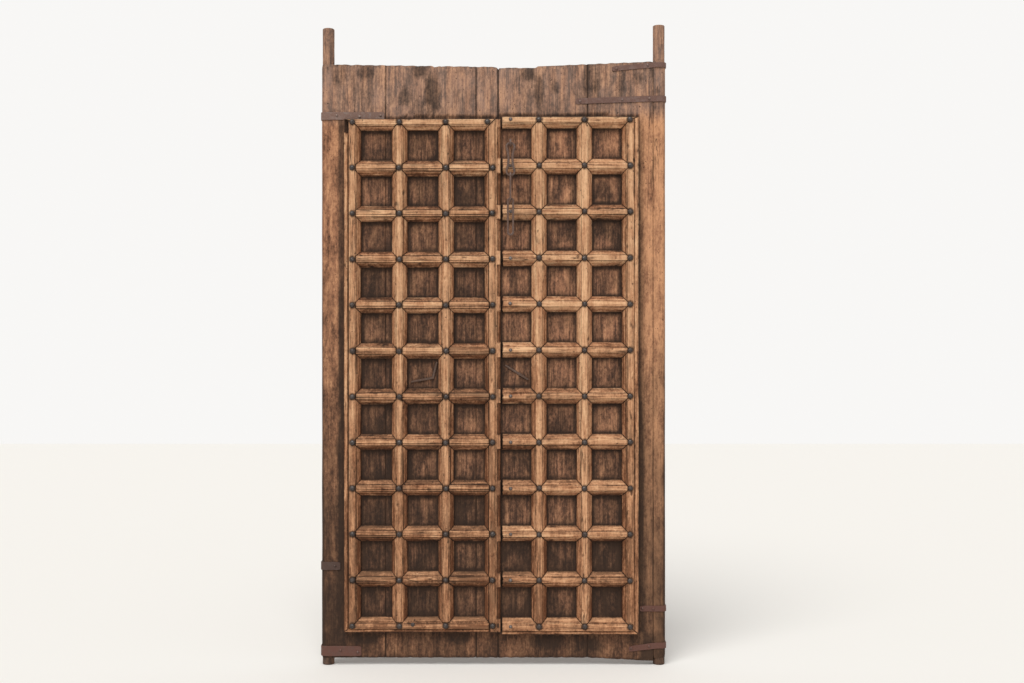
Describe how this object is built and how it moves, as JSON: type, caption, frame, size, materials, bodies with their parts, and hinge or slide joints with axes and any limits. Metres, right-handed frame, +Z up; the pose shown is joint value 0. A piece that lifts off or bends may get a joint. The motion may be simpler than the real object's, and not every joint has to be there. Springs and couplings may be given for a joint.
{
  "type": "double door",
  "caption": "Old teak double door: plank leaves faced with a mitred lattice of moulded bars and forged nails, turning on wooden pintles, with iron straps and a chain hasp.",
  "frame": {"origin": "on the floor plane under the feet, in the middle of the pair's width and depth", "axes": "+Z up, +X to the right seen from the front, -Y out of the lattice side"},
  "size_m": [1.1444, 0.1204, 2.12],
  "materials": {
    "board_teak": "weathered, bare",
    "lattice_teak": "weathered, worn smooth on the edges",
    "strap_iron": "flat iron with brown rust",
    "forged_iron": "dark forged iron, dull sheen"
  },
  "bodies": {
    "left_leaf": {"left_bottom_border": "lattice_teak", "left_edge_board": "board_teak", "left_foot_strap": "strap_iron", "left_hanging_plank": "board_teak", "left_ledge_1": "board_teak", "left_ledge_2": "board_teak", "left_ledge_3": "board_teak", "left_lower_strap": "strap_iron", "left_meeting_cover": "lattice_teak", "left_middle_board": "board_teak", "left_outer_upright": "lattice_teak", "left_rail_row_01": "lattice_teak", "left_rail_row_02": "lattice_teak", "left_rail_row_03": "lattice_teak", "left_rail_row_04": "lattice_teak", "left_rail_row_05": "lattice_teak", "left_rail_row_06": "lattice_teak", "left_rail_row_07": "lattice_teak", "left_rail_row_08": "lattice_teak", "left_rail_row_09": "lattice_teak", "left_rail_row_10": "lattice_teak", "left_rose_nails": "forged_iron", "left_split_staple": "forged_iron", "left_top_border": "lattice_teak", "left_top_strap": "strap_iron", "left_upright_1": "lattice_teak", "left_upright_2": "lattice_teak"},
    "right_leaf": {"right_bottom_border": "lattice_teak", "right_edge_board": "board_teak", "right_end_nails": "forged_iron", "right_foot_strap": "strap_iron", "right_ledge_1": "board_teak", "right_ledge_2": "board_teak", "right_ledge_3": "board_teak", "right_lower_strap": "strap_iron", "right_outer_board": "board_teak", "right_outer_upright": "lattice_teak", "right_pivot_post": "board_teak", "right_rail_row_01": "lattice_teak", "right_rail_row_02": "lattice_teak", "right_rail_row_03": "lattice_teak", "right_rail_row_04": "lattice_teak", "right_rail_row_05": "lattice_teak", "right_rail_row_06": "lattice_teak", "right_rail_row_07": "lattice_teak", "right_rail_row_08": "lattice_teak", "right_rail_row_09": "lattice_teak", "right_rail_row_10": "lattice_teak", "right_rose_nails": "forged_iron", "right_second_strap": "strap_iron", "right_split_staple": "forged_iron", "right_top_border": "lattice_teak", "right_top_strap": "strap_iron", "right_upright_1": "lattice_teak", "right_upright_2": "lattice_teak", "chain_staple": "forged_iron"},
    "chain_link_1": {"chain_link_1": "forged_iron"},
    "chain_link_2": {"chain_link_2": "forged_iron"},
    "chain_link_3": {"chain_link_3": "forged_iron"}
  },
  "joints": [
    {"name": "right_leaf_swing", "type": "hinge", "parent": "left_leaf", "child": "right_leaf", "pos_m": [0.5485, 0.02525, 0], "axis": [0, 0, -1], "range_deg": [0, 100]},
    {"name": "chain_swing_1", "type": "hinge", "parent": "right_leaf", "child": "chain_link_1", "pos_m": [0.056, -0.04775, 1.721], "axis": [-1, 0, 0], "range_deg": [0, 90]},
    {"name": "chain_swing_2", "type": "hinge", "parent": "chain_link_1", "child": "chain_link_2", "pos_m": [0.056, -0.04775, 1.61275], "axis": [-1, 0, 0], "range_deg": [0, 45]},
    {"name": "chain_swing_3", "type": "hinge", "parent": "chain_link_2", "child": "chain_link_3", "pos_m": [0.056, -0.04775, 1.53875], "axis": [-1, 0, 0], "range_deg": [0, 45]}
  ]
}
